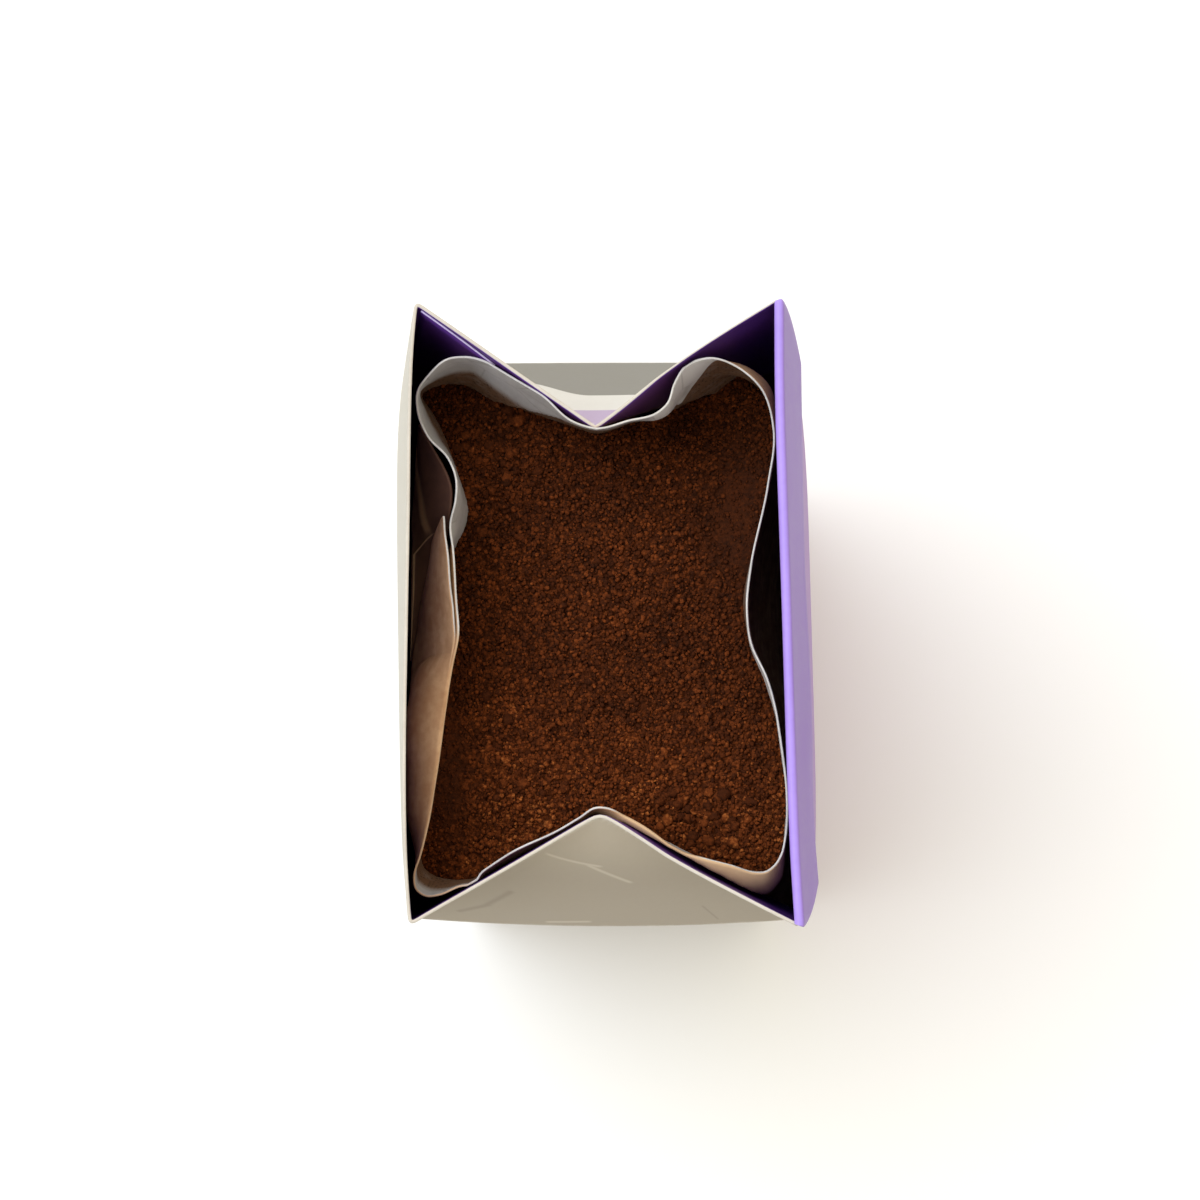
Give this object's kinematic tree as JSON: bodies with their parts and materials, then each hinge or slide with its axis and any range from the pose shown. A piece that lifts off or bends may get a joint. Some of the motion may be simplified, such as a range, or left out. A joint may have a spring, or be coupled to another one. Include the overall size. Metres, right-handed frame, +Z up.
{
  "type": "opened coffee carton",
  "caption": "Opened gable-top paperboard carton standing upright, short sides folded in, with a paper inner bag filled with ground coffee.",
  "frame": {"origin": "centre of the bounding box on the underside of the base", "axes": "+Z up through the open mouth, Y along the long panels, +X towards the side with the turned-out flap"},
  "size_m": [0.064, 0.0868, 0.175],
  "materials": {
    "carton": "printed paperboard, soft satin, cream outside and violet inside",
    "inner_bag": "kraft paper, pale lining inside",
    "ground_coffee": "dry, coarse, matte"
  },
  "bodies": {
    "root": {"carton": "carton", "inner_bag": "inner_bag", "ground_coffee": "ground_coffee"}
  },
  "joints": []
}
